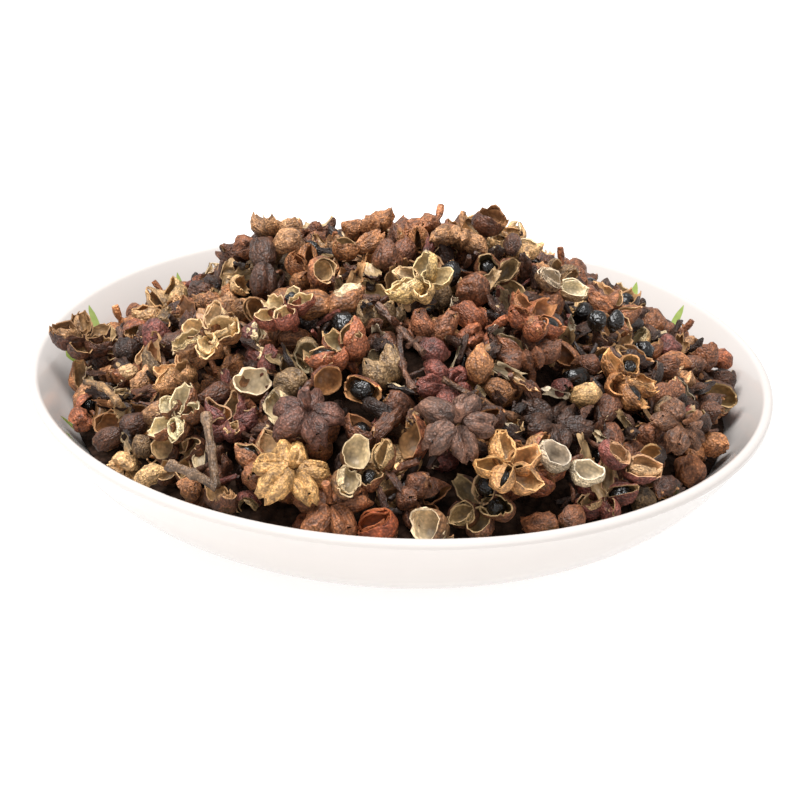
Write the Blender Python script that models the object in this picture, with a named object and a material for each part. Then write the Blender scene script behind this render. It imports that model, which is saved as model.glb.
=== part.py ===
"""Dried evodia fruit heaped in a small white porcelain dish. Metres, +Z up, the foot's middle at the origin.

The dish is turned from one profile. The heap is one solid: a core that fills the dish, with the
fruits that show fused on. The fruits settle one by one, each at the lowest of a few random places.
"""

import math

import bmesh
import bpy
import numpy as np
from mathutils import Matrix, Vector

MM = 0.001

# Dish
RIM_RADIUS = 75 * MM
RIM_HEIGHT = 25 * MM
WALL = 3 * MM
FLAT_RADIUS = 37.5 * MM  # where the flat bottom ends and the wall begins to rise
UNDERSIDE = 4.2 * MM  # height of the flat bottom above the table
WALL_POWER = 3.9  # how late the wall turns upwards
FOOT_RADIUS = 40 * MM
FOOT_WIDTH = 3.2 * MM
DISH_SIDES = 56
DISH_STEPS = 7

# Mound
PEAK = 52 * MM
FALL = 37 * MM  # how far the mound has dropped where it reaches the rim's radius
FALL_POWER = 1.64
MOUND_CENTRE = Vector((1 * MM, -5 * MM))
KNOLL_WIDTH = 9 * MM
# x, y and rise in mm of the mound's knolls and dips
KNOLLS = ((-28, 0, 9), (-4, 2, 2), (18, 0, 8), (-50, 8, -3), (40, 8, 1), (65, 4, 5), (-66, 5, 4))
EDGE_RADIUS = 72.5 * MM  # no fruit reaches further out
STALK_EDGE = 60 * MM  # and no stalk further than this
EDGE_THICKNESS = 5.5 * MM
SHORE = 2 * MM  # no fruit settles where the mound has thinned out to less than this
BED_DEPTH = 12 * MM  # the fruits that show lie on a bed this far under the mound's surface
CORE_DEPTH = 3.6 * MM
SHOWING = 3.3 * MM  # a fruit that stands out of the core by less is left out
CORE_RADIUS = 68 * MM
CORE_SIDES = 28
CORE_RINGS = 7
CORE_LIP = 1.2 * MM
DISH_GAP = 0.6 * MM

# Settling
SEED = 11
TRIES = 24
GRID = 1.5 * MM  # spacing of the spots where the heap's surface is known
HOLLOW_SHARE = 5  # a fruit is dropped on the lowest fifth of the spots
SQUEEZE = 0.86  # neighbours press into each other to this share of their radii
SIZE_SPREAD = (0.88, 1.14)
EQUAL = 6  # decimals of a metre: places that are level to a micrometre count as equal
# How many of each kind settle in turn, the lowest layer first.
LAYERS = (
    {"star": 30, "cluster": 25, "berry": 60},
    {"star": 45, "cluster": 35, "pair": 30, "cup": 30, "berry": 40},
    {"star": 60, "cluster": 50, "pair": 30},
    {"seed": 80, "cup": 150, "berry": 150, "pair": 40, "stalk": 26},
)
BURIED_LAYERS = 2
# How strongly each kind's axis turns upwards, and how many mm it may stand above the mound.
UPRIGHT = {"star": 0.7, "cluster": 0.6, "pair": 0.6, "cup": 0.6, "berry": 0.3, "seed": 0, "stalk": 0}
PROUD = {"star": 4.2, "cluster": 3.8, "pair": 2.6, "cup": 2, "berry": 2, "seed": 1.2, "stalk": 2}
# The fruits that catch the eye, laid on the buried layers, open side forward: kind, x and y in mm.
FRONT_LEAN = (0, -1.1, 1.3)
FEATURED_ROOM = 6.5 * MM  # no later fruit is laid as near as this to a featured one
FEATURED = (
    ("cluster", -18, -62),
    ("star", 3, -22),
    ("star", -22, -26),
    ("cluster", -16, -52),
    ("pair", 41, -50),
    ("pair", 30, -56),
    ("star", 19, -61),
    ("cup", -3, -67),
    ("cup", 6, -66),
    ("pair", -8, -62),
    ("star", 42, -28),
    ("pair", -10, -44),
    ("cup", -27, -37),
    ("cup", -16, -14),
    ("cup", -6, -17),
    ("cluster", 10, -57),
    ("star", 24, -27),
    ("pair", 30, -11),
    ("star", -40, -44),
    ("star", -36, -29),
    ("star", -64, -4),
    ("seed", 41, -13),
    ("seed", 37, -17),
    ("cluster", 52, -36),
)

# Fruits, at their mean size
STAR_TIP = 6.9 * MM
STAR_NOTCH = 4 * MM
STAR_HEIGHT = 5.4 * MM
CLUSTER_TIP = 6.4 * MM
CLUSTER_NOTCH = 4.6 * MM
CLUSTER_HEIGHT = 6 * MM
LOBES = 5
LOBE_CREST = 0.6  # where a lobe is highest and where it is lowest, as shares of its tip's distance
LOBE_KEEL = 0.5
TIP_RISE = 0.1  # height of a lobe's tip and of the fruit's middle, as shares of the fruit's height
MIDDLE_RISE = 0.2
FOLLICLE_RADIUS = 3.1 * MM
CUP_RADIUS = 3.4 * MM
CUP_SIDES = 6
CUP_MOUTH = (0.85, 0.55)  # radius and height of its mouth, its belly and its floor, as shares of its radius
CUP_BELLY = (0.9, -0.4)
CUP_FLOOR = (0, -0.1)
SEED_RADIUS = 2.3 * MM
STALK_RADIUS = 0.75 * MM
STALK_LENGTH = 15 * MM
STALK_BOW = 1.2 * MM
STALK_SIDES = 3
STALK_STEPS = 3


def clear_scene():
    for obj in list(bpy.data.objects):
        bpy.data.objects.remove(obj)


def material(name, colour, roughness):
    made = bpy.data.materials.new(name)
    made.use_nodes = True
    shader = made.node_tree.nodes["Principled BSDF"]
    shader.inputs["Base Color"].default_value = (*colour, 1)
    shader.inputs["Roughness"].default_value = roughness
    shader.inputs["Metallic"].default_value = 0
    made.diffuse_color = (*colour, 1)
    return made


def add_object(name, mesh, collection):
    obj = bpy.data.objects.new(name, mesh)
    collection.objects.link(obj)
    return obj


# ---------------------------------------------------------------- dish


def wall_curve(foot, rim, bottom, steps):
    """Points (radius, height) up one face of the dish's wall, from its flat bottom to its rim."""
    shares = [step / steps for step in range(steps + 1)]
    rise = RIM_HEIGHT - bottom
    return [(foot + (rim - foot) * share, bottom + rise * share**WALL_POWER) for share in shares]


def inner_curve():
    lip = WALL / 2
    curve = wall_curve(FLAT_RADIUS - lip, RIM_RADIUS - WALL * 0.9, UNDERSIDE + WALL, DISH_STEPS)
    return curve[:-1] + [(RIM_RADIUS - WALL * 0.85, RIM_HEIGHT - lip * 0.45)]


def outer_curve():
    curve = wall_curve(FLAT_RADIUS, RIM_RADIUS, UNDERSIDE, DISH_STEPS)
    return curve[:-1] + [(RIM_RADIUS, RIM_HEIGHT - WALL / 2)]


def foot_curve():
    """The foot ring's outline, from its inside to its outside."""
    chamfer = FOOT_WIDTH * 0.2
    inside = FOOT_RADIUS - FOOT_WIDTH
    return [
        (inside - chamfer, UNDERSIDE),
        (inside, chamfer),
        (inside + chamfer, 0),
        (FOOT_RADIUS - chamfer, 0),
        (FOOT_RADIUS, chamfer),
        (FOOT_RADIUS + chamfer, UNDERSIDE + chamfer * 0.1),
    ]


def make_dish():
    lip = [(RIM_RADIUS - WALL * 0.12, RIM_HEIGHT - WALL * 0.2), (RIM_RADIUS - WALL * 0.45, RIM_HEIGHT)]
    outer = [point for point in outer_curve() if point[0] > FOOT_RADIUS + FOOT_WIDTH * 0.6]
    profile = [(0, UNDERSIDE)] + foot_curve() + outer + lip + inner_curve()[::-1] + [(0, UNDERSIDE + WALL)]
    bm = bmesh.new()
    points = [bm.verts.new((radius, 0, height)) for radius, height in profile]
    edges = [bm.edges.new(pair) for pair in zip(points, points[1:])]
    bmesh.ops.spin(
        bm,
        geom=points + edges,
        cent=(0, 0, 0),
        axis=(0, 0, 1),
        angle=math.tau,
        steps=DISH_SIDES,
        use_merge=True,
    )
    bmesh.ops.remove_doubles(bm, verts=bm.verts, dist=0.01 * MM)
    bmesh.ops.recalc_face_normals(bm, faces=bm.faces)
    mesh = bpy.data.meshes.new("dish")
    bm.to_mesh(mesh)
    bm.free()
    mesh.shade_smooth()
    mesh.set_sharp_from_angle(angle=math.radians(50))
    dish = add_object("dish", mesh, bpy.context.scene.collection)
    dish.data.materials.append(material("white_glazed_porcelain", (0.92, 0.9, 0.88), 0.15))
    return dish


# ---------------------------------------------------------------- mound


def dish_floor(radius):
    """Height of the dish's inner face at this distance from its axis."""
    radii, heights = zip(*inner_curve())
    return np.interp(radius, radii, heights)


def open_mound(x, y):
    """Height of the mound as it would be without the dish's wall."""
    distance = np.hypot(x - MOUND_CENTRE.x, y - MOUND_CENTRE.y)
    height = PEAK - FALL * (distance / RIM_RADIUS) ** FALL_POWER
    for knoll_x, knoll_y, rise in np.array(KNOLLS) * MM:
        height = height + rise * np.exp(-((x - knoll_x) ** 2 + (y - knoll_y) ** 2) / KNOLL_WIDTH**2)
    return height


def mound_height(x, y):
    """Height of the heap's mean surface, one fruit thick where it thins out on the dish's wall."""
    return np.maximum(open_mound(x, y), dish_floor(np.hypot(x, y)) + EDGE_THICKNESS)


def make_core():
    """The heap's hidden middle, on a polar grid: its top follows the mound and its underside the dish."""
    bm = bmesh.new()
    tops, undersides = [], []
    for ring in range(1, CORE_RINGS + 1):
        radius = CORE_RADIUS * math.sin(ring / CORE_RINGS * math.pi / 2)
        underside = float(dish_floor(radius)) + DISH_GAP
        top_row, underside_row = [], []
        for side in range(CORE_SIDES):
            angle = math.tau * side / CORE_SIDES
            x, y = radius * math.cos(angle), radius * math.sin(angle)
            top = max(float(mound_height(x, y)) - CORE_DEPTH, underside + CORE_LIP)
            top_row.append(bm.verts.new((x, y, top)))
            underside_row.append(bm.verts.new((x, y, underside)))
        tops.append(top_row)
        undersides.append(underside_row)
    peak = bm.verts.new((0, 0, float(mound_height(0, 0)) - CORE_DEPTH))
    base = bm.verts.new((0, 0, float(dish_floor(0)) + DISH_GAP))
    for side in range(CORE_SIDES):
        after = (side + 1) % CORE_SIDES
        bm.faces.new((peak, tops[0][side], tops[0][after]))
        bm.faces.new((base, undersides[0][after], undersides[0][side]))
        bm.faces.new((tops[-1][after], tops[-1][side], undersides[-1][side], undersides[-1][after]))
        for inner, outer in zip(tops, tops[1:]):
            bm.faces.new((inner[side], outer[side], outer[after], inner[after]))
        for inner, outer in zip(undersides, undersides[1:]):
            bm.faces.new((inner[after], outer[after], outer[side], inner[side]))
    mesh = bpy.data.meshes.new("evodia_heap")
    bm.to_mesh(mesh)
    bm.free()
    return add_object("evodia_heap", mesh, bpy.context.scene.collection)


# ---------------------------------------------------------------- settling


def lobe_ring(distance, height, radius):
    """The balls of a fruit's lobes, as rows of x, y, z and radius."""
    angles = [math.tau * lobe / LOBES for lobe in range(LOBES)]
    return [(distance * math.cos(angle), distance * math.sin(angle), height, radius) for angle in angles]


# The balls that stand for each kind of fruit while it settles: x, y, z and radius in mm.
BALLS = {
    "star": lobe_ring(4, 0.4, 2.8) + [(0, 0, -1, 2.4)],
    "cluster": lobe_ring(3.6, 0, 2.8) + [(0, 0, -0.4, 3)],
    "pair": [(2.9, 0, 0, 2.9), (-2.9, 0, 0, 2.9)],
    "cup": [(0, 0, 0, 3.4)],
    "berry": [(0, 0, 0, 3.1)],
    "seed": [(0, 0, 0, 2.3)],
    "stalk": [(x, 0, 0, 0.75) for x in np.linspace(-7.5, 7.5, 11)],
}
# Angles down a ball's side, in radians, at which it may touch the dish's rising wall.
TOUCHING = np.array((0, 0.4, 0.8, 1.2))[:, None]


def random_axes(draw, lean):
    """Three unit vectors as columns, the third drawn towards the lean."""
    axis = draw.normal(size=3)
    axis = axis / np.linalg.norm(axis) + lean
    axis /= np.linalg.norm(axis)
    across = np.cross(draw.normal(size=3), axis)
    across /= np.linalg.norm(across)
    return np.column_stack((across, np.cross(axis, across), axis))


def resting_height(balls, radii, landed):
    """How high a fruit comes to rest on the dish, the bed and the fruits that have landed."""
    x, y, offset = balls.T
    distance = np.hypot(x, y)
    on_dish = dish_floor(distance + radii * np.sin(TOUCHING)) + radii * np.cos(TOUCHING) + DISH_GAP
    on_bed = mound_height(x, y) - BED_DEPTH + radii
    height = np.max(np.maximum(on_dish.max(axis=0), on_bed) - offset)
    if len(landed):
        reach = (radii[:, None] + landed[:, 3]) * SQUEEZE
        rise = reach**2 - (x[:, None] - landed[:, 0]) ** 2 - (y[:, None] - landed[:, 1]) ** 2
        on_fruit = landed[:, 2] + np.sqrt(np.maximum(rise, 0)) - offset[:, None]
        height = max(height, on_fruit[rise > 0].max(initial=0))
    return height


def lowest_place(model, lean, edge, hollows, landed, draw):
    """The best of a few random hollows: the one where the fruit stands least above the mound."""
    size = draw.uniform(*SIZE_SPREAD)
    best = {"above": math.inf}
    for x, y in draw.choice(hollows, TRIES):
        axes = random_axes(draw, lean)
        balls = model[:, :3] @ axes.T * size + (x, y, 0)
        radii = model[:, 3] * size
        if np.max(np.hypot(balls[:, 0], balls[:, 1]) + radii) > edge:
            continue
        height = resting_height(balls, radii, landed)
        balls[:, 2] += height
        above = np.max(balls[:, 2] + radii - mound_height(balls[:, 0], balls[:, 1]))
        above = round(float(above), EQUAL)
        if above < best["above"]:
            landing = np.column_stack((balls, radii))
            best = {"above": above, "place": (x, y, height), "axes": axes, "size": size, "balls": landing}
    return best


def settle_fruits():
    """Every fruit that finds room, with its kind, place, axes, size and balls."""
    draw = np.random.default_rng(SEED)
    models = {kind: np.array(rows) * MM for kind, rows in BALLS.items()}
    line = np.arange(-EDGE_RADIUS, EDGE_RADIUS, GRID)
    reach = EDGE_RADIUS - BALLS["seed"][0][3] * MM
    spots = np.array([(x, y) for x in line for y in line if math.hypot(x, y) < reach])
    spots = spots[open_mound(*spots.T) > dish_floor(np.hypot(*spots.T)) + SHORE]
    mound = mound_height(*spots.T)
    surface = np.maximum(mound - BED_DEPTH, dish_floor(np.hypot(*spots.T)))
    landed = np.empty((0, 4))
    fruits = []

    def settle(kind, lean, hollows, proud):
        """Lays one fruit in one of the hollows, unless it would stand too proud there."""
        nonlocal landed, surface
        edge = STALK_EDGE if kind == "stalk" else EDGE_RADIUS
        found = lowest_place(models[kind], lean, edge, hollows, landed, draw)
        if found["above"] > proud:
            return
        landed = np.vstack((landed, found["balls"]))
        fruits.append({"kind": kind, **found})
        for x, y, z, radius in found["balls"]:
            cap = radius**2 - (spots[:, 0] - x) ** 2 - (spots[:, 1] - y) ** 2
            surface = np.where(cap > 0, np.maximum(surface, z + np.sqrt(np.maximum(cap, 0))), surface)

    for number, layer in enumerate(LAYERS):
        if number == BURIED_LAYERS:
            for kind, x, y in FEATURED:
                place = np.array([(x, y)]) * MM
                settle(kind, FRONT_LEAN, place, RIM_HEIGHT)
                surface[np.linalg.norm(spots - place, axis=1) < FEATURED_ROOM] = PEAK * 2
        kinds = [kind for kind, count in layer.items() for _ in range(count)]
        for kind in draw.permutation(kinds):
            depths = np.round((surface - mound) / MM, 2)
            hollows = spots[np.argsort(depths, kind="stable")[: len(spots) // HOLLOW_SHARE]]
            settle(kind, (0, 0, UPRIGHT[kind]), hollows, PROUD[kind] * MM)
    return fruits


# ---------------------------------------------------------------- fruits


def mesh_of(name, points, faces):
    mesh = bpy.data.meshes.new(name)
    mesh.from_pydata(points, [], faces)
    return mesh


def on_circle(radius, angle, height):
    return radius * math.cos(angle), radius * math.sin(angle), height


def star_mesh(name, tip, notch, height):
    """Pointed lobes round a middle, each of four facets above its widest line and four below."""
    points = [(0, 0, height * MIDDLE_RISE), (0, 0, -height / 2)]
    faces = []
    for lobe in range(LOBES):
        middle = math.tau * lobe / LOBES
        before = middle - math.pi / LOBES
        points.append(on_circle(notch, before, 0))
        points.append(on_circle(tip, middle, height * TIP_RISE))
        points.append(on_circle(tip * LOBE_CREST, middle, height / 2))
        points.append(on_circle(tip * LOBE_KEEL, middle, -height / 2))
        first, point, crest, keel = range(2 + lobe * 4, 6 + lobe * 4)
        second = 2 + (lobe + 1) % LOBES * 4
        faces += [(first, point, crest), (point, second, crest), (second, 0, crest), (0, first, crest)]
        faces += [(point, first, keel), (second, point, keel), (1, second, keel), (first, 1, keel)]
    return mesh_of(name, points, faces)


def ball_mesh(name, radius, stretch=1):
    bm = bmesh.new()
    bmesh.ops.create_icosphere(bm, subdivisions=1, radius=radius, matrix=Matrix.Scale(stretch, 4, (1, 0, 0)))
    mesh = bpy.data.meshes.new(name)
    bm.to_mesh(mesh)
    bm.free()
    return mesh


def cup_mesh(name, radius):
    """An empty shell with a dished mouth."""
    points = [(0, 0, radius * CUP_FLOOR[1]), (0, 0, -radius)]
    faces = []
    for side in range(CUP_SIDES):
        angle = math.tau * side / CUP_SIDES
        points.append(on_circle(radius * CUP_MOUTH[0], angle, radius * CUP_MOUTH[1]))
        points.append(on_circle(radius * CUP_BELLY[0], angle, radius * CUP_BELLY[1]))
        rim, belly = 2 + side * 2, 3 + side * 2
        after = 2 + (side + 1) % CUP_SIDES * 2
        faces += [(0, rim, after), (rim, belly, after + 1), (rim, after + 1, after), (1, after + 1, belly)]
    return mesh_of(name, points, faces)


def stalk_mesh(name):
    """A bowed stalk along X."""
    points, faces = [], []
    for step in range(STALK_STEPS + 1):
        share = step / STALK_STEPS
        bow = STALK_BOW * math.sin(share * math.pi)
        for side in range(STALK_SIDES):
            y, z, _ = on_circle(STALK_RADIUS * 1.1, math.tau * side / STALK_SIDES, 0)
            points.append((STALK_LENGTH * (share - 0.5), y, bow + z))
            if step == STALK_STEPS:
                continue
            near, near_after = step * STALK_SIDES + side, step * STALK_SIDES + (side + 1) % STALK_SIDES
            faces.append((near, near_after, near_after + STALK_SIDES, near + STALK_SIDES))
    last = STALK_STEPS * STALK_SIDES
    faces.append(tuple(reversed(range(STALK_SIDES))))
    faces.append(tuple(range(last, last + STALK_SIDES)))
    return mesh_of(name, points, faces)


def fruit_meshes():
    return {
        "star": star_mesh("star", STAR_TIP, STAR_NOTCH, STAR_HEIGHT),
        "cluster": star_mesh("cluster", CLUSTER_TIP, CLUSTER_NOTCH, CLUSTER_HEIGHT),
        "pair": ball_mesh("pair", FOLLICLE_RADIUS, stretch=1.85),
        "cup": cup_mesh("cup", CUP_RADIUS),
        "berry": ball_mesh("berry", FOLLICLE_RADIUS * 1.05),
        "seed": ball_mesh("seed", SEED_RADIUS),
        "stalk": stalk_mesh("stalk"),
    }


def shows(fruit):
    """Whether any of the fruit stands out of the core."""
    x, y, z, radius = fruit["balls"].T
    return np.max(z + radius - mound_height(x, y)) > SHOWING - CORE_DEPTH


def clear_the_dish(obj):
    """Raises a fruit until every corner clears the dish's inner face."""
    corners = [obj.matrix_world @ corner.co for corner in obj.data.vertices]
    sunk = max(float(dish_floor(corner.xy.length)) + DISH_GAP - corner.z for corner in corners)
    if sunk > 0:
        obj.matrix_world = Matrix.Translation((0, 0, sunk)) @ obj.matrix_world


def keep_largest_shell(mesh):
    """Fills the hollows that fusing has sealed and drops loose scraps, which are shells of their own."""
    bm = bmesh.new()
    bm.from_mesh(mesh)
    unseen = set(bm.verts)
    shells = []
    while unseen:
        shell, edge_of_shell = set(), [unseen.pop()]
        while edge_of_shell:
            vert = edge_of_shell.pop()
            shell.add(vert)
            found = {edge.other_vert(vert) for edge in vert.link_edges} & unseen
            unseen -= found
            edge_of_shell += found
        shells.append(shell)
    largest = max(shells, key=len)
    loose = [vert for shell in shells if shell is not largest for vert in shell]
    bmesh.ops.delete(bm, geom=loose, context="VERTS")
    bm.to_mesh(mesh)
    bm.free()


def apply_modifiers(obj):
    bpy.context.view_layer.update()
    obj.data = bpy.data.meshes.new_from_object(obj.evaluated_get(bpy.context.evaluated_depsgraph_get()))
    obj.modifiers.clear()


def make_heap():
    heap = make_core()
    fruits = bpy.data.collections.new("fruits")
    bpy.context.scene.collection.children.link(fruits)
    meshes = fruit_meshes()
    for fruit in settle_fruits():
        if not shows(fruit):
            continue
        obj = add_object(fruit["kind"], meshes[fruit["kind"]], fruits)
        turned = Matrix(fruit["axes"].tolist()).to_4x4() @ Matrix.Scale(fruit["size"], 4)
        obj.matrix_world = Matrix.Translation(fruit["place"]) @ turned
        clear_the_dish(obj)
    union = heap.modifiers.new("fused_fruits", "BOOLEAN")
    union.operation = "UNION"
    union.operand_type = "COLLECTION"
    union.collection = fruits
    union.solver = "MANIFOLD"
    apply_modifiers(heap)
    keep_largest_shell(heap.data)
    for obj in list(fruits.objects):
        bpy.data.objects.remove(obj)
    bpy.data.collections.remove(fruits)
    heap.data.materials.clear()
    heap.data.materials.append(material("dried_evodia_fruit", (0.17, 0.08, 0.045), 0.75))
    return heap


clear_scene()
make_dish()
make_heap()
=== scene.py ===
import math

import bpy
import numpy as np
from mathutils import Matrix, Vector


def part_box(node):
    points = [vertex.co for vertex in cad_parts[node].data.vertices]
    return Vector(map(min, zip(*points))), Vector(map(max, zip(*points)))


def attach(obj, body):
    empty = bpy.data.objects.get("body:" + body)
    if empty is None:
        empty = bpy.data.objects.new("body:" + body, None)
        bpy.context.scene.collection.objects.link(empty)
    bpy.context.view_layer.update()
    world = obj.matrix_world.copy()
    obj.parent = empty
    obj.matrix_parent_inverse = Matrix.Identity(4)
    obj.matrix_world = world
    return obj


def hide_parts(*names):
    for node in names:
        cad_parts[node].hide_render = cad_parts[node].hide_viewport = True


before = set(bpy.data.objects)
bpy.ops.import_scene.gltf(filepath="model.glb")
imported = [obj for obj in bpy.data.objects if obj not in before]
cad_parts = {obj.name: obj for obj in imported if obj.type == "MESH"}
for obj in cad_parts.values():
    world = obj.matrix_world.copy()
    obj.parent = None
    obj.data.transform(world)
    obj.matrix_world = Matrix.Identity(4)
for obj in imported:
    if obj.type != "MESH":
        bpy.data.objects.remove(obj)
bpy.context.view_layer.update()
MM = 0.001

# ------------------------------------------------------------------ camera, light and table
# The dish stands on a plain white board under soft light from above and in front. It is seen
# from a little above its rim, through a lens long enough to keep the rim's oval slim.

dish_low, dish_high = (Vector(corner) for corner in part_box("dish"))
RIM_RADIUS = round(dish_high.x, 6)
RIM_HEIGHT = round(dish_high.z, 6)

VIEW_ANGLE = math.radians(24.25)  # above the horizon, from the middle of the rim
VIEW_TILT = math.radians(25.6)  # how far the camera looks down
VIEW_ROLL = math.radians(2.36)
VIEW_DISTANCE = 4.888 * RIM_RADIUS
VIEW_LENS = 81

camera_data = bpy.data.cameras.new("camera")
camera_data.sensor_width = 36
camera_data.lens = VIEW_LENS
camera_data.clip_start = 0.01
camera = bpy.data.objects.new("camera", camera_data)
bpy.context.scene.collection.objects.link(camera)
towards_camera = Vector((0, -math.cos(VIEW_ANGLE), math.sin(VIEW_ANGLE)))
camera.location = Vector((0, 0, RIM_HEIGHT)) + towards_camera * VIEW_DISTANCE
looking = Vector((0, math.cos(VIEW_TILT), -math.sin(VIEW_TILT))).to_track_quat("-Z", "Y")
camera.rotation_euler = (looking.to_matrix() @ Matrix.Rotation(VIEW_ROLL, 3, "Z")).to_euler()
bpy.context.scene.camera = camera
bpy.context.scene.view_settings.view_transform = "Standard"


def linear(colour):
    """An sRGB hex colour as linear red, green, blue and alpha."""
    channels = [int(colour[start : start + 2], 16) / 255 for start in (1, 3, 5)]
    return (*(c / 12.92 if c <= 0.04045 else ((c + 0.055) / 1.055) ** 2.4 for c in channels), 1)


def new_material(name, **inputs):
    """A material, its Principled BSDF set from the inputs, and the shader itself."""
    material = bpy.data.materials.new(name)
    material.use_nodes = True
    shader = material.node_tree.nodes["Principled BSDF"]
    for socket, value in inputs.items():
        shader.inputs[socket.replace("_", " ")].default_value = value
    return material, shader


def add_light(name, size, power, place):
    """A square soft light aimed at the dish, its size in metres and its power in watts."""
    data = bpy.data.lights.new(name, "AREA")
    data.size = size
    data.energy = power
    light = bpy.data.objects.new(name, data)
    light.location = place
    aim = Vector((0, 0, RIM_HEIGHT)) - light.location
    light.rotation_euler = aim.to_track_quat("-Z", "Y").to_euler()
    bpy.context.scene.collection.objects.link(light)


add_light("overhead_softbox", 0.4, 6.9, Vector((-0.12, -0.06, 0.62)))
add_light("front_softbox", 0.4, 0.45, Vector((0.3, -0.55, 0.35)))

world = bpy.data.worlds.new("studio")
world.use_nodes = True
world.node_tree.nodes["Background"].inputs["Color"].default_value = linear("#ffffff")
world.node_tree.nodes["Background"].inputs["Strength"].default_value = 0.6
bpy.context.scene.world = world

bpy.ops.object.select_all(action="DESELECT")
bpy.ops.mesh.primitive_plane_add(size=6, location=(0, 0, dish_low.z - 0.2 * MM))
table = bpy.context.object
table.name = "table"
# Matt white board: pale and even, lit a little by itself so that it stays almost pure white.
white_board = new_material(
    "matt_white_board",
    Base_Color=linear("#d0cfce"),
    Roughness=0.9,
    Emission_Color=linear("#ffffff"),
    Emission_Strength=0.66,
)[0]
table.data.materials.append(white_board)

# ------------------------------------------------------------------ dish
# A small porcelain dish, jigger-turned in one piece with a foot ring, dipped in clear glaze
# and fired. Short green leaf strokes are painted round its inner wall, under the glaze.

WALL = 3 * MM
FLAT_RADIUS = RIM_RADIUS / 2
UNDERSIDE = 4.2 * MM
WALL_POWER = 3.9  # how late the wall turns up on its way out to the rim
FOOT_RADIUS = 40 * MM
FOOT_WIDTH = 3.2 * MM
DISH_SIDES = 144
WALL_STEPS = 22


def wall_curve(start, end, bottom, top, steps):
    """Points (radius, height) up one face of the wall, from the flat bottom to the rim."""
    points = []
    for step in range(steps + 1):
        share = step / steps
        points.append((start + (end - start) * share, bottom + (top - bottom) * share**WALL_POWER))
    return points


def inner_curve(steps):
    """The inner face of the wall, from the edge of the dish's floor to its rim."""
    return wall_curve(FLAT_RADIUS - WALL / 2, RIM_RADIUS - WALL * 0.9, UNDERSIDE + WALL, RIM_HEIGHT, steps)


def arc(centre, radius, start, end, steps):
    """Points along an arc, its angles in degrees."""
    angles = [math.radians(start + (end - start) * step / steps) for step in range(steps + 1)]
    return [(centre[0] + radius * math.cos(a), centre[1] + radius * math.sin(a)) for a in angles]


inner_wall = inner_curve(WALL_STEPS)
outer_wall = wall_curve(FLAT_RADIUS, RIM_RADIUS, UNDERSIDE, RIM_HEIGHT, WALL_STEPS)
lip_radius = WALL * 0.43
lip_centre = (RIM_RADIUS - lip_radius, RIM_HEIGHT - lip_radius)
foot_middle = FOOT_RADIUS - FOOT_WIDTH / 2
foot_edge = FOOT_WIDTH / 2
foot_rounding = foot_edge * 0.7
# The profile runs from the underside, round the foot ring and up the outside, over the lip
# and down to the floor.
profile = [(FOOT_RADIUS - FOOT_WIDTH * 1.4, UNDERSIDE), (FOOT_RADIUS - FOOT_WIDTH, UNDERSIDE * 0.75)]
profile += arc((foot_middle - foot_edge * 0.3, foot_rounding), foot_rounding, 180, 270, 4)
profile += arc((foot_middle + foot_edge * 0.3, foot_rounding), foot_rounding, 270, 360, 4)
profile += [(FOOT_RADIUS + FOOT_WIDTH * 0.1, UNDERSIDE * 0.8)]
profile += [point for point in outer_wall if point[0] > FOOT_RADIUS + FOOT_WIDTH * 0.3][:-1]
profile += arc(lip_centre, lip_radius, 0, 150, 8)
profile += inner_wall[::-1][1:]


def turned(name, profile, sides):
    """A turned piece: a filled circle, extruded and resized along its profile."""
    bpy.ops.object.select_all(action="DESELECT")
    radius, height = profile[0]
    bpy.ops.mesh.primitive_circle_add(
        vertices=sides, radius=radius, fill_type="NGON", location=(0, 0, height)
    )
    piece = bpy.context.object
    piece.name = name
    bpy.ops.object.transform_apply()
    bpy.ops.object.mode_set(mode="EDIT")
    bpy.ops.mesh.select_all(action="SELECT")
    for next_radius, next_height in profile[1:]:
        bpy.ops.mesh.extrude_region_move(TRANSFORM_OT_translate={"value": (0, 0, next_height - height)})
        scale = next_radius / radius
        bpy.ops.transform.resize(value=(scale, scale, 1))
        radius, height = next_radius, next_height
    bpy.ops.mesh.select_all(action="SELECT")
    bpy.ops.mesh.normals_make_consistent(inside=False)
    bpy.ops.object.mode_set(mode="OBJECT")
    bpy.ops.object.shade_smooth_by_angle(angle=math.radians(40))
    return piece


dish = turned("porcelain_dish", profile, DISH_SIDES)


def add_node(material, kind, links=None, **settings):
    """Adds a node: links fill its sockets from others or with values, settings set its properties."""
    tree = material.node_tree
    node = tree.nodes.new(kind)
    for name, value in settings.items():
        setattr(node, name, value)
    for socket, value in (links or {}).items():
        if isinstance(value, bpy.types.NodeSocket):
            tree.links.new(value, node.inputs[socket])
        else:
            node.inputs[socket].default_value = value
    return node


def calculate(material, operation, first, second=0.0):
    """The result of one sum on two sockets or values."""
    return add_node(material, "ShaderNodeMath", {0: first, 1: second}, operation=operation).outputs[0]


def mixed(material, share, first, second):
    """One colour mixed into another, by a share from 0 to 1."""
    node = add_node(material, "ShaderNodeMix", {0: share, 6: first, 7: second}, data_type="RGBA")
    return node.outputs[2]


def give_surface(material, shader, colour, height, strength, depth):
    """Links a colour to the shader, and a relief that stands out by up to a depth."""
    bump = add_node(material, "ShaderNodeBump", {"Height": height, "Strength": strength, "Distance": depth})
    material.node_tree.links.new(colour, shader.inputs["Base Color"])
    material.node_tree.links.new(bump.outputs["Normal"], shader.inputs["Normal"])


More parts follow.
